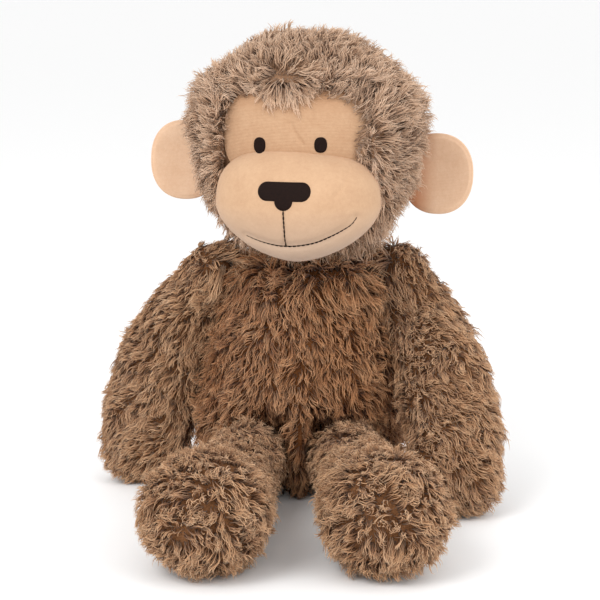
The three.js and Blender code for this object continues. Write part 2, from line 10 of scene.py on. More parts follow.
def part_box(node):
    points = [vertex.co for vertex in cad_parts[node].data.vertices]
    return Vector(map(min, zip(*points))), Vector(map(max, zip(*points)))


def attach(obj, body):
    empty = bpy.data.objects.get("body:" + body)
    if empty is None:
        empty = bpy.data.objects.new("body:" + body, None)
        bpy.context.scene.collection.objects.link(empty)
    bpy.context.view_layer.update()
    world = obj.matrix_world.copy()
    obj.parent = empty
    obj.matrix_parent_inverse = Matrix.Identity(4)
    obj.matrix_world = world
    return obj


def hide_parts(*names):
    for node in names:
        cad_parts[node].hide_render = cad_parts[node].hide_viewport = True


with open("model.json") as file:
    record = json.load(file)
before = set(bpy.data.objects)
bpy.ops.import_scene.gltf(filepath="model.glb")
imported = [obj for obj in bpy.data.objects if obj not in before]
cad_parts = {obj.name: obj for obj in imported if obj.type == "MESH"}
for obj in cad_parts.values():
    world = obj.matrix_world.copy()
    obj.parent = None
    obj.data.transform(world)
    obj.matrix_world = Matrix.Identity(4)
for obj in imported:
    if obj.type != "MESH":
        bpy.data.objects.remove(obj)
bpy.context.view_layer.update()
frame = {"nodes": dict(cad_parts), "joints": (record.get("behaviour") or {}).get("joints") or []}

nodes = frame["nodes"]
joints = {joint["name"]: joint for joint in frame["joints"]}
mm = 0.001
scene = bpy.context.scene
scene.view_settings.view_transform = "Standard"


# shader maths

class Flow:
    # wraps a socket, so that sums on it add Math nodes

    def __init__(self, finish, socket):
        self.finish = finish
        self.socket = socket

    def math(self, operation, *others):
        values = [self, *others]
        made = self.finish.node("ShaderNodeMath", {"operation": operation},
                                {i: value for i, value in enumerate(values)})
        return Flow(self.finish, made.outputs[0])

    def flipped(self, operation, other):
        made = self.finish.node("ShaderNodeMath", {"operation": operation}, {0: other, 1: self})
        return Flow(self.finish, made.outputs[0])

    def __add__(self, other):
        return self.math("ADD", other)

    def __radd__(self, other):
        return self.flipped("ADD", other)

    def __sub__(self, other):
        return self.math("SUBTRACT", other)

    def __rsub__(self, other):
        return self.flipped("SUBTRACT", other)

    def __mul__(self, other):
        return self.math("MULTIPLY", other)

    def __rmul__(self, other):
        return self.flipped("MULTIPLY", other)

    def __pow__(self, other):
        return self.math("POWER", other)

    def clamped(self):
        return self.math("MAXIMUM", 0.0).math("MINIMUM", 1.0)


class Finish:
    # one material and the nodes in it

    def __init__(self, name):
        self.material = bpy.data.materials.new(name)
        self.material.use_nodes = True
        self.tree = self.material.node_tree
        self.tree.nodes.clear()
        self.output = self.node("ShaderNodeOutputMaterial")

    def node(self, kind, settings=None, sockets=None):
        made = self.tree.nodes.new(kind)
        for key, value in (settings or {}).items():
            if key == "stops":
                self.setStops(made, value)
            else:
                setattr(made, key, value)
        for key, value in (sockets or {}).items():
            self.feed(made.inputs[key], value)
        return made

    def setStops(self, ramp, stops):
        elements = ramp.color_ramp.elements
        while len(elements) < len(stops):
            elements.new(0.5)
        for element, (place, colour) in zip(elements, stops):
            element.position = place
            element.color = (*colour, 1)

    def feed(self, socket, value):
        if isinstance(value, Flow):
            value = value.socket
        if isinstance(value, bpy.types.NodeSocket):
            self.tree.links.new(value, socket)
        elif isinstance(value, tuple) and len(value) == 3 and socket.type == "RGBA":
            socket.default_value = (*value, 1)
        else:
            socket.default_value = value

    def flow(self, kind, settings=None, sockets=None, output=0):
        return Flow(self, self.node(kind, settings, sockets).outputs[output])

    def mix(self, share, first, second, blend="MIX"):
        settings = {"data_type": "RGBA", "blend_type": blend}
        made = self.node("ShaderNodeMix", settings, {0: share, 6: first, 7: second})
        return made.outputs[2]

    def surface(self, **sockets):
        names = {key: key.replace("_", " ") for key in sockets}
        shader = self.node("ShaderNodeBsdfPrincipled", None, {names[k]: v for k, v in sockets.items()})
        self.tree.links.new(shader.outputs[0], self.output.inputs[0])
        return self.material


def linear(red, green, blue):
    # a colour as a paint chart gives it, 0 to 255, as light
    return tuple(((c / 255 + 0.055) / 1.055) ** 2.4 if c > 10 else c / 255 / 12.92 for c in (red, green, blue))


# the head's own directions

def unit(vector):
    return Vector(vector).normalized()


headUp = unit(joints["left_ear_fold"]["axis"])
headBack = unit(joints["head_tilt"]["axis"])
headSide = headBack.cross(headUp)
headTurn = np.array([headSide, headBack, headUp])


def cadPoints(names):
    return np.concatenate([[v.co for v in nodes[name].data.vertices] for name in names])


def spanInHead(names, middle=(0, 0, 0)):
    points = (cadPoints(names) - np.array(middle)) @ headTurn.T
    return points.min(0), points.max(0)


headLow, headHigh = spanInHead(["head_front_panel", "head_back_panel"])
headMiddle = ((headLow + headHigh) / 2) @ headTurn
headHalf = (headHigh - headLow) / 2


def fromHead(points):
    # from the head's own side, back and up to the frame
    return np.asarray(points) @ headTurn + headMiddle


def toHead(points):
    return (np.asarray(points) - headMiddle) @ headTurn.T


# meshes

def newPiece(name, points, faces, material):
    mesh = bpy.data.meshes.new(name)
    mesh.from_pydata([tuple(p) for p in points], [], faces)
    mesh.materials.append(material)
    piece = bpy.data.objects.new(name, mesh)
    scene.collection.objects.link(piece)
    mesh.polygons.foreach_set("use_smooth", [True] * len(mesh.polygons))
    return piece


def applied(piece):
    # the piece's modifiers made into its mesh
    view = bpy.context.evaluated_depsgraph_get()
    done = bpy.data.meshes.new_from_object(piece.evaluated_get(view))
    old = piece.data
    piece.modifiers.clear()
    piece.data = done
    bpy.data.meshes.remove(old)
    done.polygons.foreach_set("use_smooth", [True] * len(done.polygons))
    return piece


def coordinates(mesh, kind="co"):
    out = np.zeros(len(mesh.vertices) * 3, np.float32)
    mesh.vertices.foreach_get(kind, out)
    return out.reshape(-1, 3).astype(float)


def moveTo(piece, points):
    piece.data.vertices.foreach_set("co", np.asarray(points, np.float32).ravel())
    piece.data.update()


def stuffed(name, parts, material, sizes):
    # the outer form of some CAD solids as one soft skin, drawn in under the pile
    points, faces, start = [], [], 0
    for part in parts:
        mesh = nodes[part].data
        points.extend(tuple(v.co) for v in mesh.vertices)
        faces.extend([start + i for i in p.vertices] for p in mesh.polygons)
        start += len(mesh.vertices)
    piece = newPiece(name, points, faces, material)
    remesh = piece.modifiers.new("skin", "REMESH")
    remesh.mode = "VOXEL"
    remesh.voxel_size = sizes["voxel"]
    smooth = piece.modifiers.new("ease", "SMOOTH")
    smooth.factor = 0.5
    smooth.iterations = sizes["smoothing"]
    applied(piece)
    inwards = coordinates(piece.data, "normal") * sizes["inset"]
    moveTo(piece, coordinates(piece.data) - inwards)
    return inflate(piece, 4, sizes["swell"])


def inflate(piece, pressure, cap, rim=(), frames=20):
    # a short cloth simulation that fills the piece, with how far it may swell kept to the cap
    before = coordinates(piece.data)
    cloth = piece.modifiers.new("cloth", "CLOTH")
    if len(rim):
        held = piece.vertex_groups.new(name="sewn")
        held.add([int(i) for i in rim], 1.0, "REPLACE")
        cloth.settings.vertex_group_mass = "sewn"
    cloth.settings.use_pressure = True
    cloth.settings.uniform_pressure_force = pressure
    cloth.settings.effector_weights.gravity = 0
    cloth.settings.quality = 4
    cloth.point_cache.frame_end = frames
    for step in range(1, frames + 1):
        scene.frame_set(step)
    applied(piece)
    scene.frame_set(1)
    shift = coordinates(piece.data) - before
    reach = np.linalg.norm(shift, axis=1, keepdims=True)
    shift *= np.minimum(1, cap / np.maximum(reach, 1e-9))
    moveTo(piece, before + shift)
    return piece


# fur

def furFinish(name, look):
    # pile: dark at the root, pale at the tip, each lock of its own tone
    finish = Finish(name)
    place = finish.node("ShaderNodeUVMap", {"uv_map": "OFBake"})
    parts = finish.node("ShaderNodeSeparateXYZ", None, {0: place.outputs[0]})
    tone = Flow(finish, parts.outputs[0])
    along = Flow(finish, parts.outputs[1])
    body = finish.node("ShaderNodeValToRGB", {"stops": [
        (0.0, look["root"]), (0.3, look["low"]), (0.68, look["middle"]), (1.0, look["tip"])]}, {0: along})
    pale = finish.mix((tone * 1.7 - 0.7).clamped() * look["paleShare"], body.outputs[0], look["pale"])
    dark = finish.mix((0.75 - tone * 1.9).clamped() * look["darkShare"], pale, look["dark"])
    return finish.surface(Base_Color=dark, Roughness=0.7, Sheen_Weight=0.12, Sheen_Roughness=0.5,
                          Specular_IOR_Level=0.3)


def skinPoints(piece, count, seed, keep=None):
    # roots spread evenly over the skin, with the skin's own normal at each
    mesh = piece.data
    mesh.calc_loop_triangles()
    corners = np.zeros(len(mesh.loop_triangles) * 3, np.int32)
    mesh.loop_triangles.foreach_get("vertices", corners)
    corners = corners.reshape(-1, 3)
    points, normals = coordinates(mesh), coordinates(mesh, "normal")
    a, b, c = (points[corners[:, k]] for k in range(3))
    area = np.linalg.norm(np.cross(b - a, c - a), axis=1)
    if keep is not None:
        area = area * keep((a + b + c) / 3, normals[corners].mean(1))
    rng = np.random.default_rng(seed)
    chosen = rng.choice(len(area), count, p=area / area.sum())
    u, v = rng.random(count), rng.random(count)
    over = u + v > 1
    u[over], v[over] = 1 - u[over], 1 - v[over]
    w = 1 - u - v
    spots = a[chosen] * w[:, None] + b[chosen] * u[:, None] + c[chosen] * v[:, None]
    facing = (normals[corners[chosen]] * np.stack([w, u, v], 1)[:, :, None]).sum(1)
    return spots, facing / np.linalg.norm(facing, axis=1, keepdims=True)


def unitRows(rows):
    return rows / np.maximum(np.linalg.norm(rows, axis=1, keepdims=True), 1e-9)


def noiseRows(points, size, seed):
    # a smooth random direction at each point
    shift = Vector((seed * 7.3, seed * 3.1, seed * 5.7))
    return np.array([noise.noise_vector(Vector(p / size) + shift) for p in points])


def growFur(name, skin, body, finish, look, comb, count, seed, length=None, keep=None, clear=None):
    # locks of pile: each has a path of its own, and its strands lean in to it towards the tip
    rng = np.random.default_rng(seed)
    lockCount = max(count // look["strandsPerLock"], 1)
    lockRoot, lockNormal = skinPoints(skin, lockCount, seed + 1, keep)
    root, normal = skinPoints(skin, count, seed + 2, keep)
    tree = kdtree.KDTree(lockCount)
    for i, p in enumerate(lockRoot):
        tree.insert(p, i)
    tree.balance()
    lock = np.array([tree.find(p)[1] for p in root])

    swirl = noiseRows(lockRoot, look["swirlSize"], seed) * look["swirl"]
    scatter = rng.normal(0, look["scatter"], (lockCount, 3))
    lay = comb(lockRoot, lockNormal) + swirl + scatter
    lay = lay - (lay * lockNormal).sum(1, keepdims=True) * lockNormal
    lockLift = look["lift"] * (1 + rng.normal(0, 0.22, (lockCount, 1)))
    lockWay = unitRows(lay + lockNormal * lockLift)
    lockLength = look["length"] * (1 + rng.normal(0, look["lengthSpread"], lockCount))
    if length is not None:
        lockLength = lockLength * length(lockRoot, lockNormal)
    lockPhase = rng.random(lockCount) * 2 * math.pi
    lockTurns = look["waves"] * (1 + rng.normal(0, 0.25, lockCount))
    lockTone = 0.5 + rng.normal(0, look["toneSpread"], lockCount)
    lockTone += noiseRows(lockRoot, look["patchSize"], seed + 5)[:, 0] * look["patchTone"]

    way = unitRows(lockWay[lock] + rng.normal(0, look["stray"], (count, 3)))
    reach = lockLength[lock] * (1 + rng.normal(0, 0.1, count))
    side = unitRows(np.cross(way, normal) + 1e-6)
    other = np.cross(side, way)
    rows = look["rows"]
    share = np.linspace(0, 1, rows + 1)
    phase = lockPhase[lock] + rng.normal(0, 0.35, count)
    turns = lockTurns[lock]
    paths = np.zeros((rows + 1, count, 3))
    down = np.array([0, 0, -1.0])
    gap = root - lockRoot[lock]
    for i, t in enumerate(share):
        wave = look["wave"] * t ** 0.8
        swing = 2 * math.pi * turns * t + phase
        curl = (np.sin(swing) - np.sin(phase))[:, None] * side + (np.cos(swing) - np.cos(phase))[:, None] * other
        lean = way * t + down * look["droop"] * t * t
        lean = lean - normal * (look["curve"] * t * t)
        gather = gap * (look["gather"] * t ** 1.2)
        paths[i] = root + lean * reach[:, None] + curl * wave - gather
    floor = look["floor"]
    paths[:, :, 2] = np.maximum(paths[:, :, 2], floor + 0.0006 * rng.random(count))
    if clear is not None:
        paths = clear(paths)

    thick = look["thickness"] * (1 + rng.normal(0, 0.2, count))
    tone = np.clip(lockTone[lock] + rng.normal(0, 0.06, count), 0.02, 0.98)
    buildStrands(name, body, finish, paths, thick, tone, side, other)


def buildStrands(name, body, finish, paths, thick, tone, side, other):
    # three-sided tapered strands, closed at the root and drawn to a point
    rows, count = paths.shape[0] - 1, paths.shape[1]
    perPiece = 190000 // (6 * rows - 2)
    sideAngles = [0, 2 * math.pi / 3, 4 * math.pi / 3]
    ringFaces, tipFaces = [], []
    for i in range(rows - 1):
        for k in range(3):
            n = (k + 1) % 3
            ringFaces.append([3 * i + k, 3 * i + n, 3 * i + 3 + n])
            ringFaces.append([3 * i + k, 3 * i + 3 + n, 3 * i + 3 + k])
    tip = 3 * rows
    for k in range(3):
        tipFaces.append([3 * (rows - 1) + k, 3 * (rows - 1) + (k + 1) % 3, tip])
    pattern = np.array(ringFaces + tipFaces + [[0, 2, 1]])
    perStrand = 3 * rows + 1
    shares = np.linspace(0, 1, rows + 1)
    for part, start in enumerate(range(0, count, perPiece)):
        pick = slice(start, min(start + perPiece, count))
        here = paths[:, pick]
        n = here.shape[1]
        verts = np.zeros((n, perStrand, 3))
        for i in range(rows):
            t = shares[i]
            width = thick[pick] * (0.75 + 0.25 * math.sin(math.pi * t)) * (1 - t ** 3)
            for k, angle in enumerate(sideAngles):
                around = side[pick] * math.cos(angle) + other[pick] * math.sin(angle)
                verts[:, 3 * i + k] = here[i] + around * width[:, None]
        verts[:, tip] = here[rows]
        faces = (pattern[None] + (np.arange(n) * perStrand)[:, None, None]).reshape(-1, 3)
        makeFurMesh(f"{name}{part + 1}", verts.reshape(-1, 3), faces, n, perStrand, shares, tone[pick], body, finish)


def makeFurMesh(name, points, faces, strands, perStrand, shares, tone, body, finish):
    mesh = bpy.data.meshes.new(name)
    mesh.vertices.add(len(points))
    mesh.vertices.foreach_set("co", points.astype(np.float32).ravel())
    mesh.loops.add(len(faces) * 3)
    mesh.loops.foreach_set("vertex_index", faces.astype(np.int32).ravel())
    mesh.polygons.add(len(faces))
    mesh.polygons.foreach_set("loop_start", np.arange(len(faces), dtype=np.int32) * 3)
    mesh.polygons.foreach_set("use_smooth", np.ones(len(faces), bool))
    mesh.update()
    spread = np.array([-0.0025, 0, 0.0025])
    across = np.concatenate([np.tile(spread, len(shares) - 1), [0]])
    up = np.concatenate([np.repeat(shares[:-1], 3), [1]])
    u = (tone[:, None] * 0.98 + 0.01 + across[None]).ravel()
    v = np.tile(up * 0.98 + 0.01, strands)
    layer = mesh.uv_layers.new(name="OFBake")
    flat = faces.ravel()
    layer.data.foreach_set("uv", np.stack([u[flat], v[flat]], 1).astype(np.float32).ravel())
    mesh.materials.append(finish)
    piece = bpy.data.objects.new(name, mesh)
    scene.collection.objects.link(piece)
    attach(piece, body)
    return piece


# finishes

weave = {"knit": 0.9 * mm, "cloudy": 8 * mm, "depth": 0.3 * mm}


def wovenFinish(name, dark, pale):
    # the knitted backing of the pile, seen only between the locks
    finish = Finish(name)
    spots = finish.node("ShaderNodeTexCoord").outputs["Object"]
    knit = finish.flow("ShaderNodeTexVoronoi", None, {"Vector": spots, "Scale": 1 / weave["knit"]})
    cloudy = finish.flow("ShaderNodeTexNoise", None, {"Vector": spots, "Scale": 1 / weave["cloudy"], "Detail": 3.0})
    colour = finish.mix((knit * 0.7 + (cloudy - 0.5) * 1.2 + 0.1).clamped(), dark, pale)
    bump = finish.node("ShaderNodeBump", None, {"Strength": 0.6, "Distance": weave["depth"], "Height": knit})
    return finish.surface(Base_Color=colour, Roughness=0.95, Specular_IOR_Level=0.1, Normal=bump.outputs[0])


headLook = {
    "root": linear(104, 74, 52), "low": linear(152, 118, 92), "middle": linear(204, 168, 138),
    "tip": linear(238, 205, 177), "pale": linear(243, 214, 188), "dark": linear(134, 98, 71),
    "paleShare": 0.5, "darkShare": 0.6,
}
bodyLook = {
    "root": linear(64, 34, 15), "low": linear(120, 76, 43), "middle": linear(186, 131, 87),
    "tip": linear(229, 179, 134), "pale": linear(237, 190, 146), "dark": linear(110, 63, 31),
    "paleShare": 0.45, "darkShare": 0.6,
}
limbLook = {
    "root": linear(70, 41, 21), "low": linear(130, 90, 60), "middle": linear(196, 150, 110),
    "tip": linear(236, 196, 156), "pale": linear(241, 205, 168), "dark": linear(120, 77, 44),
    "paleShare": 0.45, "darkShare": 0.6,
}
headBacking = wovenFinish("headBacking", headLook["root"], headLook["low"])
bodyBacking = wovenFinish("bodyBacking", bodyLook["root"], bodyLook["low"])
limbBacking = wovenFinish("limbBacking", limbLook["root"], limbLook["low"])
headFur = furFinish("headPile", headLook)
bodyFur = furFinish("bodyPile", bodyLook)
limbFur = furFinish("limbPile", limbLook)

pile = {
    "length": 9.2 * mm, "lengthSpread": 0.2, "lift": 0.7, "swirl": 1.15, "swirlSize": 13 * mm,
    "scatter": 0.22, "stray": 0.1, "waves": 1.15, "wave": 0.95 * mm, "gather": 0.68, "droop": 0.08,
    "curve": 0.3, "thickness": 0.29 * mm, "rows": 5, "strandsPerLock": 5, "toneSpread": 0.17,
    "patchSize": 20 * mm, "patchTone": 0.22, "floor": 0.2 * mm,
}
headPile = {**pile, "length": 10.4 * mm, "swirl": 0.85, "swirlSize": 18 * mm}
seamPile = {**pile, "length": 9 * mm, "swirl": 0.5, "strandsPerLock": 4}
neckPile = {**pile, "length": 15 * mm, "lift": 0.9, "swirl": 0.6}
tailPile = {**pile, "length": 7.5 * mm, "swirl": 0.4}


# skins

print("skins")
skinSizes = {"voxel": 3.2 * mm, "smoothing": 5, "inset": 1.6 * mm, "swell": 1.0 * mm}
headSizes = {**skinSizes, "inset": 1.4 * mm}
tailSizes = {"voxel": 2.2 * mm, "smoothing": 3, "inset": 2.0 * mm, "swell": 0}
crown = {"swell": 4 * mm}
faceRoom = {"half": 40 * mm, "top": 34 * mm, "depth": 6.5 * mm}
fuller = {"right": (0, 118, 12, 5), "left": (-4, 122, 15, 0)}
sides = ("right", "left")


def drawBack(skin):
    # room for the brow's cloth in the front of the head
    local = toHead(coordinates(skin.data))
    room = (np.abs(local[:, 0]) < faceRoom["half"]) & (local[:, 2] < faceRoom["top"]) & (local[:, 1] < 0)
    local[room, 1] += faceRoom["depth"]
    moveTo(skin, fromHead(local))


def squareOff(skin):
    # the crown is fuller at its sides than a ball
    local = toHead(coordinates(skin.data))
    place = local / headHalf
    corner = np.exp(-((place[:, 2] - 0.36) / 0.28) ** 2) * np.clip(np.abs(place[:, 0]) * 1.6, 0, 1)
    swell = crown["swell"] * corner * np.clip(1.1 - np.abs(place[:, 1]), 0, 1)
    moveTo(skin, fromHead(local + unitRows(local * np.array([1, 0, 1])) * swell[:, None]))


def leanIn(skin, side):
    # an arm's filling spreads towards the body and away from it: from, to, in and out, in mm
    low, high, inner, outer = (v * mm for v in fuller[side])
    way = np.array([1.0 if side == "right" else -1.0, 0, 0])
    spots, facing = coordinates(skin.data), coordinates(skin.data, "normal") @ way
    height = np.sqrt(np.sin(math.pi * np.clip((spots[:, 2] - low) / (high - low), 0, 1)))
    spread = inner * np.clip(facing, 0, 1) + outer * np.clip(facing, -1, 0)
    moveTo(skin, spots + way * (spread * height)[:, None])


torsoParts = ["torso_front_panel", "torso_back_panel", "torso_stuffing", "seat_pellet_bag"]
headParts = ["head_front_panel", "head_back_panel", "head_stuffing"]
torsoSkin = stuffed("torsoSkin", torsoParts, bodyBacking, skinSizes)
headSkin = stuffed("headSkin", headParts + ["brow_panel"], headBacking, headSizes)
drawBack(headSkin)
squareOff(headSkin)
skins = {"torso": (torsoSkin, torsoParts), "head": (headSkin, headParts)}
for side in sides:
    armParts = [f"{side}_arm_outer_panel", f"{side}_arm_inner_panel", f"{side}_arm_stuffing"]
    armSkin = stuffed(f"{side}ArmSkin", armParts, limbBacking, skinSizes)
    leanIn(armSkin, side)
    skins[f"{side}_arm"] = (armSkin, armParts)
    legParts = [f"{side}_leg_outer_panel", f"{side}_leg_inner_panel", f"{side}_leg_stuffing",
                f"{side}_foot_pellet_bag"]
    skins[f"{side}_leg"] = (stuffed(f"{side}LegSkin", legParts, limbBacking, skinSizes), legParts)
tailParts = ["tail_panel", "tail_stuffing"]
skins["tail"] = (stuffed("tailSkin", tailParts, bodyBacking, tailSizes), tailParts)
for body, (skin, parts) in skins.items():
    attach(skin, body)
    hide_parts(*parts)


# brow and muzzle

velour = {"ribGap": 0.75 * mm, "napSize": 0.35 * mm}
brow = {"clear": 1.3 * mm, "overlap": 2.5 * mm, "corner": 17 * mm, "puff": 1.6 * mm, "sunk": 1.2 * mm, "rings": 56, "around": 200}
muzzle = {
    "tail": 10 * mm, "flatTop": 2.8, "taper": 1.65, "rings": 84, "around": 220, "turnedIn": 118,
    "sidePuff": 1.03, "dip": 1.6 * mm, "aside": 2.2 * mm, "creaseDepth": 1.1 * mm, "creaseWidth": 2.2 * mm,
}
muzzleLow, muzzleHigh = spanInHead(["muzzle_panel"], headMiddle)
browLow, browHigh = spanInHead(["brow_panel"], headMiddle)
muzzleHalf = (muzzleHigh - muzzleLow) / 2
muzzleMiddle = (muzzleLow + muzzleHigh) / 2
muzzleMiddle += np.array([muzzle["aside"], 0, 0])
muzzleMiddle[1] = muzzleHigh[1] - muzzle["tail"]
muzzleHalf[1] = muzzleMiddle[1] - muzzleLow[1]


def headFront(x, z, grow):
    # the head's front, at a place seen from straight in front
    half = headHalf + grow
    rest = 1 - (x / half[0]) ** 2 - (z / half[2]) ** 2
    return -half[1] * np.sqrt(np.maximum(rest, 0.02))


def velourFinish(name, shade):
    # short nap over a ribbed knit, with a second colour mixed in over a masked part: painted shade on the brow and the
    # ears, painted light on the lower muzzle
    finish = Finish(name)
    place = finish.node("ShaderNodeUVMap", {"uv_map": "OFBake"})
    parts = finish.node("ShaderNodeSeparateXYZ", None, {0: place.outputs[0]})
    across, up = (Flow(finish, parts.outputs[i]) for i in (0, 1))
    spots = finish.node("ShaderNodeTexCoord").outputs["Object"]
    cloudy = finish.flow("ShaderNodeTexNoise", None, {"Vector": spots, "Scale": 95.0, "Detail": 4.0})
    brushed = finish.flow("ShaderNodeTexNoise", None, {"Vector": spots, "Scale": 520.0, "Detail": 3.0})
    nap = finish.flow("ShaderNodeTexNoise", None,
                      {"Vector": spots, "Scale": 1 / velour["napSize"], "Detail": 2.0})
    ribs = (up * (2 * math.pi / shade["ribs"])).math("SINE")
    tint = ((cloudy - 0.5) * 1.0 + (brushed - 0.5) * 0.8 + (nap - 0.5) * 0.9 + ribs * shade["ribTint"] + 0.5).clamped()
    colour = finish.mix(tint, shade["middle"], shade["pale"])
    # painted shade and light: the masked part takes the painted colour, deeper where shade falls, paler on the lower
    # muzzle where light comes up from below
    colour = finish.mix(shade["paintedShadeAndLightMask"](across, up), colour, shade["far"])
    height = nap * 0.6 + ribs * shade["ribDepth"] + brushed * 0.5
    bump = finish.node("ShaderNodeBump", None, {"Strength": 0.4, "Distance": 0.0004, "Height": height})
    return finish.surface(Base_Color=colour, Roughness=0.88, Sheen_Weight=0.1, Sheen_Roughness=0.4,
                          Specular_IOR_Level=0.15, Normal=bump.outputs[0])


def ringed(name, centre, outline, rings, place, material, span):
    # a piece drawn as rings from a centre out to an outline; place turns a plan into points
    around = len(outline)
    plans = [centre[None]]
    for i in range(1, rings + 1):
        plans.append(centre + (outline - centre) * (i / rings))
    plan = np.concatenate(plans)
    share = np.concatenate([[0]] + [np.full(around, i / rings) for i in range(1, rings + 1)])
    points = place(plan, share)
    faces = [(0, 1 + k, 1 + (k + 1) % around) for k in range(around)]
    for i in range(rings - 1):
        a = 1 + i * around
        for k in range(around):
            n = (k + 1) % around
            faces.append((a + k, a + around + k, a + around + n, a + n))
    piece = newPiece(name, points, faces, material)
    mapPlan(piece, plan, span)
    return piece


def rimOf(piece, around):
    # the last ring of a ringed piece, where it is sewn
    count = len(piece.data.vertices)
    return range(count - around, count)


def mapPlan(piece, plan, span):
    low, size = span
    layer = piece.data.uv_layers.new(name="OFBake")
    corners = np.zeros(len(piece.data.loops), np.int32)
    piece.data.loops.foreach_get("vertex_index", corners)
    flat = np.clip((plan - low) / size, 0.002, 0.998)
    layer.data.foreach_set("uv", flat[corners].astype(np.float32).ravel())


def roundedOutline(low, high, corner, around):
    # a box with round corners, walked round at even angles
    centre, half = (low + high) / 2, (high - low) / 2
    angle = np.linspace(0, 2 * math.pi, around, endpoint=False)
    way = np.stack([np.cos(angle), np.sin(angle)], 1)
    reach = np.min(half / np.maximum(np.abs(way), 1e-6), axis=1)
    spot = way * reach[:, None]
    inner = np.sign(spot) * np.maximum(np.abs(spot) - (half - corner), 0)
    over = np.linalg.norm(inner, axis=1)
    pull = np.where(over > corner, (over - corner), 0)[:, None] * inner / np.maximum(over, 1e-9)[:, None]
    return centre, centre + spot - pull


def nearness(plan, line, width):
    # 1 on a line of points, fading to 0 over the width
    start, run = line[:-1], np.diff(line, axis=0)
    best = np.full(len(plan), 1e9)
    for s, r in zip(start, run):
        t = np.clip(((plan - s) @ r) / max(r @ r, 1e-12), 0, 1)
        best = np.minimum(best, np.linalg.norm(plan - (s + t[:, None] * r), axis=1))
    return np.exp(-(best / width) ** 2)


def smoothLine(points, count=60):
    # a soft curve through a few places
    points = np.array(points, float)
    step = np.concatenate([[0], np.cumsum(np.linalg.norm(np.diff(points, axis=0), axis=1))])
    at = np.linspace(0, step[-1], count)
    lows = np.clip(np.searchsorted(step, at, side="right") - 1, 0, len(points) - 2)
    slope = np.gradient(points, step, axis=0)
    h = (step[lows + 1] - step[lows])[:, None]
    t = ((at - step[lows])[:, None]) / h
    a, b = points[lows], points[lows + 1]
    ta, tb = slope[lows] * h, slope[lows + 1] * h
    return (2 * t ** 3 - 3 * t ** 2 + 1) * a + (t ** 3 - 2 * t ** 2 + t) * ta \
        + (3 * t ** 2 - 2 * t ** 3) * b + (t ** 3 - t ** 2) * tb


def stitchLine(node, count):
    # the middle line of one of the frame's stitched threads, seen from in front
    local = toHead(cadPoints([node]))[:, [0, 2]]
    wide = np.ptp(local[:, 0]) > np.ptp(local[:, 1])
    axis = 0 if wide else 1
    order = np.linspace(local[:, axis].min(), local[:, axis].max(), count)
    reach = np.ptp(local[:, axis]) / count
    spots = [local[np.abs(local[:, axis] - at) < reach].mean(0) for at in order]
    return smoothLine(spots)


smileLine = stitchLine("smile_stitch", 9)
smileTip = np.array([[2.6, 2.1], [4.8, 5.4]]) * mm
smileLine = smoothLine([*smileLine[::8], *(smileLine[-1] + smileTip)])
lipLine = stitchLine("mouth_centre_stitch", 4)
lipMiddle = smileLine[np.abs(smileLine[:, 0] - lipLine[0, 0]).argmin()]
lipLine = smoothLine([lipMiddle, lipLine.mean(0), spanInHead(["nose"], headMiddle)[0][[2, 2]] * np.array([0, 1])])
eyeLift = {"right": 0, "left": 0.9 * mm}
eyeSpots = {side: np.mean(spanInHead([f"{side}_eye"], headMiddle), axis=0)[[0, 2]] + [0, eyeLift[side]]
            for side in sides}
wrinkles = [
    {"line": [(-1 * mm, 14 * mm), (1.5 * mm, 9 * mm), (5.5 * mm, 3.5 * mm)], "depth": 0.7 * mm, "width": 1.2 * mm},
    {"line": [(-3.4 * mm, 30 * mm), (-3.8 * mm, 20 * mm)], "depth": 0.5 * mm, "width": 1.1 * mm},
    {"line": [(-9 * mm, 12 * mm), (-6 * mm, 6 * mm)], "depth": 0.25 * mm, "width": 1.4 * mm},
]
cheekLines = [
    {"line": [(31 * mm, -12 * mm), (29 * mm, -17 * mm), (26 * mm, -21 * mm)], "depth": 0.5 * mm, "width": 1.1 * mm},
    {"line": [(-29 * mm, -8 * mm), (-27 * mm, -14 * mm)], "depth": 0.3 * mm, "width": 1.3 * mm},
]

print("face")
planLow, planSize = np.array([-50, -62]) * mm, np.array([100, 100]) * mm
# painted shade: the top of the brow is mixed towards a darker, more orange colour, as shade under the hanging fringe
browFinish = velourFinish("browVelour", {
    "pale": linear(196, 160, 128), "middle": linear(178, 139, 107), "far": linear(164, 112, 74),
    "ribs": velour["ribGap"] / planSize[0], "ribDepth": 0.5, "ribTint": 0.12,
    "paintedShadeAndLightMask": lambda across, up: ((up - 0.80) * 6.0).clamped() * 0.6})
# painted light: the lower muzzle and the chin are mixed towards a paler colour, as light bouncing up from below
muzzleFinish = velourFinish("muzzleVelour", {
    "pale": linear(205, 169, 136), "middle": linear(189, 151, 119), "far": linear(210, 186, 166),
    "ribs": 0.0033, "ribDepth": 0.2, "ribTint": 0.04,
    "paintedShadeAndLightMask": lambda across, up: ((0.52 - up) * 4.5).clamped() * 0.85})


def placeBrow(plan, share):
    x, z = plan[:, 0], plan[:, 1]
    y = headFront(x, z, -brow["sunk"]) - brow["puff"] * (1 - share ** 3)
    for fold in wrinkles:
        y = y + fold["depth"] * nearness(plan, smoothLine(fold["line"]), fold["width"])
    for spot in eyeSpots.values():
        y = y + 0.7 * mm * np.exp(-(np.linalg.norm(plan - spot, axis=1) / (5 * mm)) ** 2)
    return fromHead(np.stack([x, y, z], 1))


browSpan = (np.array([browLow[0], browLow[2]]) - brow["overlap"], np.array([browHigh[0], browHigh[2]]) + brow["overlap"])
centre, outline = roundedOutline(*browSpan, brow["corner"] + brow["overlap"], brow["around"])
browPiece = ringed("browCloth", centre, outline, brow["rings"], placeBrow, browFinish, (planLow, planSize))
inflate(browPiece, 4, 0.5 * mm, rimOf(browPiece, brow["around"]))


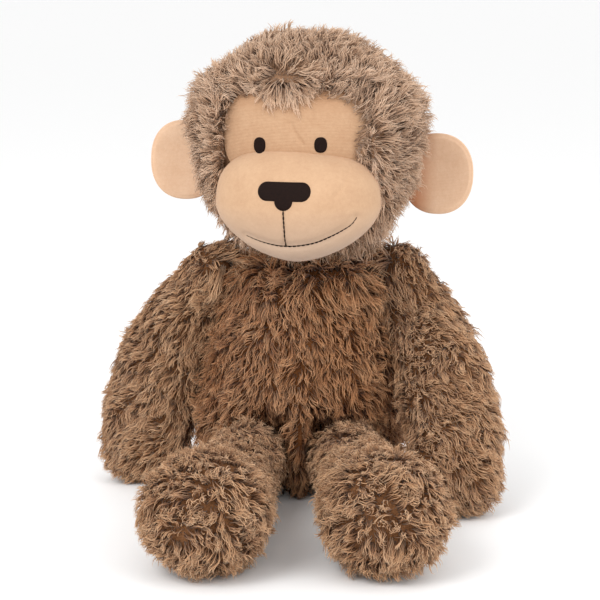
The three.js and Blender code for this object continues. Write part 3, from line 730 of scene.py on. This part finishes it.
def muzzleOutline(around):
    angle = np.linspace(0, 2 * math.pi, around, endpoint=False)
    way = np.stack([np.cos(angle), np.sin(angle)], 1)
    bend = np.where(way[:, 1] > 0, muzzle["flatTop"], muzzle["taper"])
    reach = (np.abs(way[:, 0]) ** bend + np.abs(way[:, 1]) ** bend) ** (-1 / bend)
    return way * reach[:, None]


def placeMuzzle(plan, share):
    # plan holds the outline's direction with its share of the way from the front to the open back
    turn = share * math.radians(muzzle["turnedIn"])
    size = np.linalg.norm(plan, axis=1, keepdims=True)
    shape = plan / np.maximum(size, 1e-9) * (size / np.maximum(share, 1e-9)[:, None])
    x = muzzleMiddle[0] + shape[:, 0] * np.sin(turn) * muzzleHalf[0] * muzzle["sidePuff"]
    z = muzzleMiddle[2] + shape[:, 1] * np.sin(turn) * muzzleHalf[2]
    z -= muzzle["dip"] * np.clip(shape[:, 0] * 3, 0, 1) * np.clip(shape[:, 1] * 1.5, 0, 1) * np.sin(turn)
    y = muzzleMiddle[1] - np.cos(turn) * muzzleHalf[1]
    return fromHead(np.stack([x, y, z], 1))


ringOutline = muzzleOutline(muzzle["around"])
muzzlePiece = ringed("muzzleCloth", np.zeros(2), ringOutline, muzzle["rings"], placeMuzzle, muzzleFinish,
                     (np.full(2, -1.3), np.full(2, 2.6)))
inflate(muzzlePiece, 4, 1.2 * mm, rimOf(muzzlePiece, muzzle["around"]))

spots = toHead(coordinates(muzzlePiece.data))
plan = spots[:, [0, 2]]
outwards = coordinates(muzzlePiece.data, "normal") @ headTurn.T
front = np.clip(-outwards[:, 1] * 1.5, 0, 1)
push = -muzzle["creaseDepth"] * nearness(plan, smileLine, muzzle["creaseWidth"])
push += 0.8 * mm * nearness(plan, smileLine - np.array([0, 5.5 * mm]), 4 * mm)
push -= 0.45 * mm * nearness(plan, lipLine, 1.3 * mm)
for fold in cheekLines:
    push -= fold["depth"] * nearness(plan, smoothLine(fold["line"]), fold["width"])
spots += outwards * (push * front)[:, None]
moveTo(muzzlePiece, fromHead(spots))

for piece, parts in ((browPiece, ["brow_panel"]), (muzzlePiece, ["muzzle_panel", "muzzle_stuffing"])):
    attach(piece, "head")
    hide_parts(*parts)


# embroidery

stitching = {"lift": 0.9 * mm, "rim": 1.1 * mm, "stitchLong": 2.3 * mm, "stitchWide": 0.85 * mm, "gap": 0.02}
faceTree = [BVHTree.FromPolygons([tuple(p) for p in coordinates(piece.data)],
                                 [tuple(f.vertices) for f in piece.data.polygons])
            for piece in (muzzlePiece, browPiece)]


def onFace(x, z):
    # the cloth's surface and its normal, straight in front of a place on the head
    start = Vector(fromHead(np.array([[x, -2 * headHalf[1], z]]))[0])
    hits = [tree.ray_cast(start, headBack) for tree in faceTree]
    hits = [hit for hit in hits if hit[0] is not None]
    best = min(hits, key=lambda hit: hit[3])
    normal = best[1] if best[1].dot(headBack) < 0 else -best[1]
    return np.array(best[0]), np.array(normal)


def threadFinish():
    # dark satin thread, each lying beside the next
    finish = Finish("embroideryThread")
    spots = finish.node("ShaderNodeTexCoord").outputs["Object"]
    lines = finish.flow("ShaderNodeTexWave", {"bands_direction": "X"},
                        {"Vector": spots, "Scale": 560.0, "Distortion": 1.2, "Detail": 1.0}, 1)
    tone = finish.flow("ShaderNodeTexNoise", None, {"Vector": spots, "Scale": 900.0, "Detail": 2.0})
    colour = finish.mix((tone * 0.8 + lines * 0.2).clamped(), linear(15, 6, 4), linear(36, 19, 13))
    bump = finish.node("ShaderNodeBump", None, {"Strength": 0.5, "Distance": 0.00025, "Height": lines})
    return finish.surface(Base_Color=colour, Roughness=0.7, Specular_IOR_Level=0.12, Normal=bump.outputs[0])


thread = threadFinish()


def raisedPatch(name, centre, outline, rings):
    # a patch of satin stitch: round at its rim, and following the cloth beneath
    def place(plan, share):
        points = []
        ring = np.concatenate([outline, outline[:1]])
        start, run = ring[:-1], np.diff(ring, axis=0)
        for spot in plan:
            t = np.clip(((spot - start) * run).sum(1) / (run ** 2).sum(1), 0, 1)
            inside = np.linalg.norm(spot - (start + run * t[:, None]), axis=1).min()
            rise = min(inside / stitching["rim"], 1)
            height = stitching["lift"] * math.sqrt(1 - (1 - rise) ** 2) - 0.15 * mm
            base, normal = onFace(*spot)
            points.append(base + normal * height)
        return np.array(points)
    low, high = outline.min(0) - mm, outline.max(0) + mm
    piece = ringed(name, centre, outline, rings, place, thread, (low, high - low))
    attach(piece, "head")
    return piece


def arcPoints(middle, radius, start, end, count):
    angle = np.radians(np.linspace(start, end, count))
    return np.array(middle) + radius * np.stack([np.cos(angle), np.sin(angle)], 1)


for side, spot in eyeSpots.items():
    low, high = spanInHead([f"{side}_eye"], headMiddle)
    wide, tall = (high - low)[0] / 2, (high - low)[2] / 2
    angle = np.linspace(0, 2 * math.pi, 48, endpoint=False)
    way = np.stack([np.cos(angle), np.sin(angle)], 1)
    squarer = (np.abs(way[:, 0]) ** 2.4 + np.abs(way[:, 1]) ** 2.4) ** (-1 / 2.4)
    eye = raisedPatch(f"{side}EyeStitching", spot, spot + way * squarer[:, None] * np.array([wide, tall]), 9)
    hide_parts(f"{side}_eye")

noseLow, noseHigh = spanInHead(["nose"], headMiddle)
noseBar = {"tall": 9.8 * mm, "lobe": 4.8 * mm}
barMiddle = np.array([(noseLow[0] + noseHigh[0]) / 2, noseHigh[2] - noseBar["tall"] / 2])
barEnd = (noseHigh[0] - noseLow[0]) / 2 - noseBar["tall"] / 2
lobeMiddle = np.array([barMiddle[0], noseLow[2] + noseBar["lobe"]])
right = arcPoints(barMiddle + [barEnd, 0], noseBar["tall"] / 2, -90, 90, 16)
left = arcPoints(barMiddle - [barEnd, 0], noseBar["tall"] / 2, 90, 270, 16)
lobe = arcPoints(lobeMiddle, noseBar["lobe"], 180, 360, 16)
top = np.linspace(right[-1], left[0], 14)[1:-1]
nose = raisedPatch("noseStitching", barMiddle, np.concatenate([right, top, left, lobe]), 12)
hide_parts("nose")


def backStitches(name, line, start, end, wide, node):
    # single stitches end to end, each a little plump in its middle and dipping into the cloth
    step = np.linalg.norm(np.diff(line, axis=0), axis=1)
    total = step.sum()
    ticks = np.concatenate([[0], np.cumsum(step)])
    count = max(int(total / stitching["stitchLong"]), 1)
    points, faces = [], []
    sidesOf, rowsOf = 8, 6
    for k in range(count):
        a = (k + stitching["gap"]) / count * total
        b = (k + 1 - stitching["gap"]) / count * total
        taper = min(1, 0.4 + 1.8 * min(k + start, count - k - 1 + end) / count)
        first = len(points)
        for i in range(rowsOf + 1):
            t = i / rowsOf
            at = a + (b - a) * t
            x, z = (np.interp(at, ticks, line[:, j]) for j in (0, 1))
            nx, nz = (np.interp(min(at + 0.2 * mm, total), ticks, line[:, j]) for j in (0, 1))
            px, pz = (np.interp(max(at - 0.2 * mm, 0), ticks, line[:, j]) for j in (0, 1))
            base, normal = onFace(x, z)
            along = unitRows(fromHead([[nx - px, 0, nz - pz]]) - headMiddle)[0]
            across = np.cross(normal, along)
            bulge = math.sin(math.pi * min(max(t, 0.04), 0.96)) ** 0.3
            middle = base + normal * (0.32 * mm * bulge - 0.1 * mm)
            for s in range(sidesOf):
                angle = 2 * math.pi * s / sidesOf
                radius = wide / 2 * bulge * taper
                points.append(middle + across * (math.cos(angle) * radius) + normal * (math.sin(angle) * radius * 0.8))
        for i in range(rowsOf):
            for s in range(sidesOf):
                n = (s + 1) % sidesOf
                c = first + i * sidesOf
                faces.append((c + s, c + n, c + sidesOf + n, c + sidesOf + s))
        faces.append(tuple(first + s for s in reversed(range(sidesOf))))
        faces.append(tuple(first + rowsOf * sidesOf + s for s in range(sidesOf)))
    piece = newPiece(name, points, faces, thread)
    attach(piece, "head")
    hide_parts(node)


backStitches("lipStitches", lipLine, 9, 9, stitching["stitchWide"], "mouth_centre_stitch")
backStitches("smileStitches", smileLine, 0, 2, stitching["stitchWide"], "smile_stitch")


# ears

ear = {
    "rings": 40, "around": 120, "thickness": 4.2 * mm, "cup": 6.5 * mm, "seamIn": 1.2 * mm, "seamDepth": 0.35 * mm,
}
for side, sign in (("right", -1), ("left", 1)):
    low, high = spanInHead([f"{side}_ear_front", f"{side}_ear_back"], headMiddle)
    middle, half = (low + high) / 2, (high - low) / 2
    cup = ear["cup"] * (1.0 if side == "left" else 0.45)
    outline = arcPoints((0, 0), 1.0, 0, 360, ear["around"] + 1)[:-1]
    outline = outline * ((np.abs(outline) ** 2.25).sum(1) ** (-1 / 2.25))[:, None]

    def placeEar(face):
        def place(plan, share):
            x, z = plan[:, 0], plan[:, 1]
            radius = np.clip(share, 0, 1)
            edge = (1 - radius) * half[0]
            plump = ear["thickness"] / 2 * np.sqrt(np.maximum(1 - radius ** 6, 0))
            groove = ear["seamDepth"] * np.exp(-((edge - ear["seamIn"]) / (0.5 * mm)) ** 2)
            bowl = cup * (1 - radius ** 2) - cup * 0.4 + cup * 0.5 * np.clip(-sign * x - 0.2, 0, 1) ** 2
            ripple = 0.5 * mm * np.sin(3 * np.arctan2(z, x) + sign) * radius ** 2
            y = bowl + ripple + face * (plump - groove)
            return fromHead(middle + np.stack([x * half[0], y, z * half[2]], 1))
        return place

    # painted shade: each ear's inner side, towards the head, is mixed towards a deep orange-brown where the cupped ear
    # meets the pile, strongest on the left ear
    shade = {
        "pale": linear(228, 194, 164), "middle": linear(214, 174, 142), "far": linear(160, 92, 50),
        "ribs": 0.018, "ribDepth": 0.15, "ribTint": 0.04,
        "paintedShadeAndLightMask": (lambda across, up, s=sign: ((0.50 - (across * s + (1 - s) * 0.5)) * 3.5).clamped()
                 * (0.75 if s > 0 else 0.2))}
    earFinish = velourFinish(f"{side}EarVelour", shade)
    span = (np.full(2, -1.02), np.full(2, 2.04))
    for label, face in (("Front", -1), ("Back", 1)):
        piece = ringed(f"{side}Ear{label}", np.zeros(2), outline[::-face], ear["rings"], placeEar(face), earFinish, span)
        inflate(piece, 3, 0.7 * mm, rimOf(piece, ear["around"]))
        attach(piece, f"{side}_ear")
        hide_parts(f"{side}_ear_{label.lower()}")


# growing the pile

joins = {"cheeks": 0.6, "crown": 0.35, "neck": 1.1, "sides": 0.4, "shoulders": -0.25}
opening = {
    "half": 35 * mm, "aside": -2.6 * mm, "top": 27.5 * mm, "corner": 14 * mm, "fringe": 14 * mm, "rim": 6 * mm,
    "turning": 18 * mm, "middle": -6 * mm, "cheek": 0.95, "chin": 0.78,
}


def fromOpening(local):
    # how far a place lies outside the opening for the face, negative inside it
    x = np.abs(local[:, 0] - opening["aside"])
    corner = opening["corner"]
    over = np.stack([x - opening["half"] + corner, local[:, 2] - opening["top"] + corner], 1)
    browEdge = np.linalg.norm(np.maximum(over, 0), axis=1) + np.minimum(over.max(1), 0) - corner
    away = np.linalg.norm(((local - muzzleMiddle) / muzzleHalf)[:, [0, 2]], axis=1)
    within = np.where(local[:, 2] > muzzleMiddle[2], opening["cheek"], opening["chin"])
    muzzleEdge = (away / within - 1) * muzzleHalf[2]
    edge = np.where(local[:, 2] > muzzleMiddle[2], np.minimum(browEdge, muzzleEdge), muzzleEdge)
    return np.where(local[:, 1] < 0, edge, 1.0)


def offTheFace(points, normals):
    return fromOpening(toHead(points)) > 0


def combHead(root, normal):
    # away from the face, round to the back and down, with a fringe that hangs over the brow
    local = toHead(root)
    way = unitRows(local - np.array([-4 * mm, -headHalf[1] * 1.1, -2 * mm]))
    way[:, 2] -= 0.25 * (local[:, 1] > 0) + 0.35 * (local[:, 2] < 0)
    edge = fromOpening(local)
    above = (local[:, 2] > opening["top"] - 4 * mm) & (edge < opening["turning"]) & (local[:, 1] < 0)
    aside = local[:, 0] - opening["middle"]
    middle = np.exp(-(aside / opening["fringe"]) ** 4) * above
    turn = np.clip(edge / opening["turning"], 0, 1) ** 1.3 * math.pi
    hang = np.stack([np.tanh(aside / (8 * mm)) * np.sin(turn) + 0.1, -0.25 * np.cos(turn), -np.cos(turn)], 1)
    way = way * (1 - middle[:, None]) + hang * middle[:, None] * 1.3
    rim = np.exp(-np.maximum(edge, 0) / opening["rim"]) * (1 - middle)
    way *= (1 - 0.75 * rim)[:, None]
    return way @ headTurn


whorl = 14 * mm


def overTheBrow(paths):
    # strands that hang into the opening lie on the brow's cloth
    local = toHead(paths.reshape(-1, 3))
    front = headFront(local[:, 0], local[:, 2], -brow["sunk"]) - brow["puff"] - brow["clear"]
    reach = browHigh[[0, 2]] + brow["overlap"] + brow["clear"]
    inside = (np.abs(local[:, 0]) < reach[0]) & (local[:, 2] < reach[1]) & (local[:, 1] < 0)
    local[inside, 1] = np.minimum(local[inside, 1], front[inside])
    return fromHead(local).reshape(paths.shape)


def headLength(root, normal):
    # longer under the cheeks, where the head hangs over the shoulders, and at the crown's sides
    place = toHead(root) / headHalf
    low = np.clip(-place[:, 2] - 0.5, 0, 0.5) * 2
    high = np.exp(-((place[:, 2] - 0.4) / 0.3) ** 2) * np.clip(np.abs(place[:, 0]) * 1.8, 0, 1)
    return 1 + joins["cheeks"] * low + joins["crown"] * high


def torsoLength(root, normal):
    # longer at the neck and the shoulders, and a little longer at the sides
    top = np.clip((root[:, 2] / torsoHigh[2] - 0.8) * 5, 0, 1)
    side = np.clip(np.abs(root[:, 0]) / torsoHalf[0] * 2 - 1, 0, 1)
    return 1 + joins["neck"] * top + joins["sides"] * side


def armLength(root, normal):
    # shorter over the shoulder, but longer where it meets the neck
    top = np.clip((root[:, 2] / torsoHigh[2] - 0.75) * 4, 0, 1)
    inner = np.clip(-normal[:, 0] * np.sign(root[:, 0]) * 2, 0, 1)
    return 1 + top * (joins["shoulders"] * (1 - inner) + joins["neck"] * inner)


def combTorso(root, normal):
    # down the middle of the belly, and out towards the arms at its sides
    way = np.tile([0.0, 0, -1.0], (len(root), 1))
    aside = root[:, 0] / torsoHalf[0]
    way[:, 0] = aside * 0.7
    way[:, 2] += 0.45 * np.abs(aside)
    return way


def combArm(sign):
    # down and outwards, but over to the neck from the inner side of the shoulder
    shoulder = np.array(joints["left_arm_swing"]["pos_m"])

    def comb(root, normal):
        way = np.tile([sign * 0.75, -0.15, -0.75], (len(root), 1))
        inside = np.clip((shoulder[0] + 2 * mm - root[:, 0] * sign) / (8 * mm), 0, 1)
        inside *= np.clip((root[:, 2] - shoulder[2]) / (8 * mm), 0, 1)
        return way * (1 - inside[:, None]) + np.array([-sign, 0, 0.6]) * inside[:, None]
    return comb


def combLeg(middle):
    # away from the middle of the sole, where the pile stands up, and back along the leg
    def comb(root, normal):
        out = (root - middle) * np.array([1, 0, 1])
        way = out / (np.linalg.norm(out, axis=1, keepdims=True) + whorl)
        way += np.array([0, -0.35, -0.35])
        onLeg = np.clip((root[:, 1] - middle[1]) / (40 * mm), 0, 1)[:, None]
        return way * (1 - 0.6 * onLeg) + np.array([0, -0.7, -0.15]) * onLeg
    return comb


def combNeck(root, normal):
    # out from the neck on all sides
    return normal * np.array([1, 1, 0])


def outOf(middle):
    def keep(points, normals):
        return ((points - np.array(middle)) * normals).sum(1) > 0
    return keep


print("pile")
fewer = 1.0
torsoLow, torsoHigh = (np.array(v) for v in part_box("torso_front_panel"))
torsoHalf = (torsoHigh - torsoLow) / 2
counts = {"torso": 25000, "head": 30000, "arm": 12000, "leg": 15000, "tail": 2200, "seam": 900, "neck": 2600}
growFur("torsoFur", torsoSkin, "torso", bodyFur, pile, combTorso, int(counts["torso"] * fewer), 11,
        length=torsoLength)
growFur("headFur", headSkin, "head", headFur, headPile, combHead, int(counts["head"] * fewer), 21,
        length=headLength, keep=offTheFace, clear=overTheBrow)
for i, (side, sign) in enumerate((("right", -1), ("left", 1))):
    sole = np.array(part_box(f"{side}_foot_pellet_bag")).mean(0)
    growFur(f"{side}ArmFur", skins[f"{side}_arm"][0], f"{side}_arm", limbFur, pile, combArm(sign),
            int(counts["arm"] * fewer), 31 + i * 10, length=armLength)
    growFur(f"{side}LegFur", skins[f"{side}_leg"][0], f"{side}_leg", limbFur, pile, combLeg(sole),
            int(counts["leg"] * fewer), 51 + i * 10)
    for seam, swing in (("shoulder", "arm"), ("hip", "leg")):
        pivot = joints[f"{side}_{swing}_swing"]["pos_m"]
        growFur(f"{side}{seam.title()}Fur", nodes[f"{side}_{seam}_seam"], f"{side}_{seam}", limbFur, seamPile,
                combArm(sign), int(counts["seam"] * fewer), 81 + i * 10, keep=outOf(pivot))
growFur("neckFur", nodes["neck_seam"], "neck_seam", bodyFur, neckPile, combNeck, int(counts["neck"] * fewer), 101,
        keep=outOf(joints["head_turn"]["pos_m"]))
growFur("tailFur", skins["tail"][0], "tail", bodyFur, tailPile, combTorso, int(counts["tail"] * fewer), 71)


# floor, light and camera

print("stage")
floorFinish = Finish("floor").surface(Base_Color=(0.96, 0.96, 0.96), Roughness=0.8)
reach = 80.0
floor = newPiece("floor", [(-reach, -reach, 0), (reach, -reach, 0), (reach, reach, 0), (-reach, reach, 0)],
                 [(0, 1, 2, 3)], floorFinish)

world = bpy.data.worlds.new("studio")
scene.world = world
world.use_nodes = True
world.node_tree.nodes["Background"].inputs[0].default_value = (1, 1, 1, 1)
world.node_tree.nodes["Background"].inputs[1].default_value = 1.0


def softbox(name, place, target, size, power):
    lamp = bpy.data.lights.new(name, "AREA")
    lamp.size = size
    lamp.energy = power
    holder = bpy.data.objects.new(name, lamp)
    holder.location = place
    holder.rotation_euler = (Vector(target) - Vector(place)).to_track_quat("-Z", "Y").to_euler()
    scene.collection.objects.link(holder)


softbox("keyLight", (-0.7, -0.9, 1.1), (0, 0, 0.12), 0.7, 9)
softbox("fillLight", (0.9, -0.8, 0.7), (0, 0, 0.12), 0.9, 5)

cameraPlace = {"height": 103.7 * mm, "distance": 1037 * mm, "elevation": 10, "aside": 1.1 * mm, "view": 18.4}
lens = bpy.data.cameras.new("camera")
lens.sensor_width = 36
lens.lens = 18 / math.tan(math.radians(cameraPlace["view"] / 2))
camera = bpy.data.objects.new("camera", lens)
scene.collection.objects.link(camera)
scene.camera = camera
tilt = math.radians(cameraPlace["elevation"])
aim = Vector((cameraPlace["aside"], 0, cameraPlace["height"]))
away = Vector((0, -math.cos(tilt), math.sin(tilt)))
camera.location = aim + away * cameraPlace["distance"]
camera.rotation_euler = (-away).to_track_quat("-Z", "Y").to_euler()

for name, piece in nodes.items():
    if not piece.hide_render:
        piece.data.materials.clear()
        piece.data.materials.append(bodyBacking)
